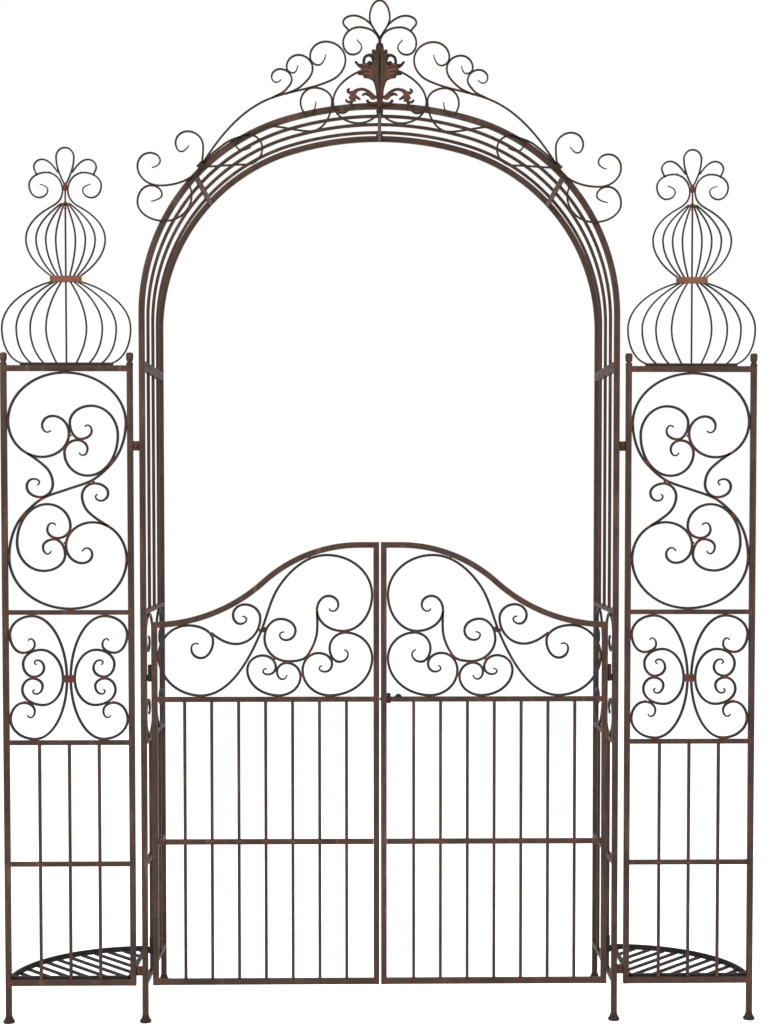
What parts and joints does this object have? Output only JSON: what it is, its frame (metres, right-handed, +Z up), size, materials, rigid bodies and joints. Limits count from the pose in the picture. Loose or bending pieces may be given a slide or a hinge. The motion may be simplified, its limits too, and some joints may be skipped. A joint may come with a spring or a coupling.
{
  "type": "garden arch with gate",
  "caption": "Garden arch in rust-brown metal with a scrolled double gate, trellis side panels with bulb finials, corner plant shelves and a scroll crest.",
  "frame": {"origin": "on the ground under the middle of the bounding box", "axes": "+Z up, +Y from the front to the back, +X to the right seen from the front, along the row of panels and gate"},
  "size_m": [1.9706, 0.436, 2.6483],
  "materials": {
    "tube": "antiqued rust brown, satin",
    "scroll": "dark brown with rust at the welds, satin",
    "collar": "rust brown, matt",
    "hinge": "very dark brown, satin",
    "cast": "brown with reddish hollows",
    "foot": "dark rust brown, satin"
  },
  "bodies": {
    "arch_frame": {"post_front_left": "tube", "arch_front_tube_left": "tube", "foot_front_left": "foot", "post_back_left": "tube", "arch_back_tube_left": "tube", "foot_back_left": "foot", "foot_panel_left": "foot", "arch_lattice_left": "tube", "side_ladder_left": "tube", "side_scrolls_left": "scroll", "hinge_pin_lower_left": "hinge", "panel_bracket_lower_left": "collar", "hinge_pin_upper_left": "hinge", "panel_bracket_upper_left": "collar", "panel_frame_left": "tube", "panel_bars_left": "tube", "panel_tall_scrolls_left": "scroll", "panel_low_scrolls_left": "scroll", "post_knob_inner_left": "tube", "post_knob_outer_left": "tube", "bulb_finial_left": "scroll", "corner_shelf_left": "tube", "post_front_right": "tube", "arch_front_tube_right": "tube", "foot_front_right": "foot", "post_back_right": "tube", "arch_back_tube_right": "tube", "foot_back_right": "foot", "foot_panel_right": "foot", "arch_lattice_right": "tube", "side_ladder_right": "tube", "side_scrolls_right": "scroll", "hinge_pin_lower_right": "hinge", "panel_bracket_lower_right": "collar", "hinge_pin_upper_right": "hinge", "panel_bracket_upper_right": "collar", "panel_frame_right": "tube", "panel_bars_right": "tube", "panel_tall_scrolls_right": "scroll", "panel_low_scrolls_right": "scroll", "post_knob_inner_right": "tube", "post_knob_outer_right": "tube", "bulb_finial_right": "scroll", "corner_shelf_right": "tube", "crown_scrollwork": "scroll", "crown_leaf": "cast", "crown_bolt_front": "hinge", "crown_bolt_back": "hinge"},
    "left_leaf": {"leaf_frame_left": "tube", "leaf_bars_left": "tube", "leaf_scrolls_left": "scroll", "hinge_barrel_lower_left": "hinge", "hinge_barrel_upper_left": "hinge"},
    "right_leaf": {"leaf_frame_right": "tube", "leaf_bars_right": "tube", "leaf_scrolls_right": "scroll", "hinge_barrel_lower_right": "hinge", "hinge_barrel_upper_right": "hinge", "latch_guide": "collar"},
    "latch_bolt": {"latch_bolt": "hinge"}
  },
  "joints": [
    {"name": "left_leaf_swing", "type": "hinge", "parent": "arch_frame", "child": "left_leaf", "pos_m": [-0.5986, -0.19705, 0.2], "axis": [0, 0, 1], "range_deg": [-90, 90]},
    {"name": "right_leaf_swing", "type": "hinge", "parent": "arch_frame", "child": "right_leaf", "pos_m": [0.5986, -0.19705, 0.2], "axis": [0, 0, -1], "range_deg": [-90, 90]},
    {"name": "latch_slide", "type": "slide", "parent": "right_leaf", "child": "latch_bolt", "axis": [-1, 0, 0], "range_m": [0, 0.01]}
  ]
}
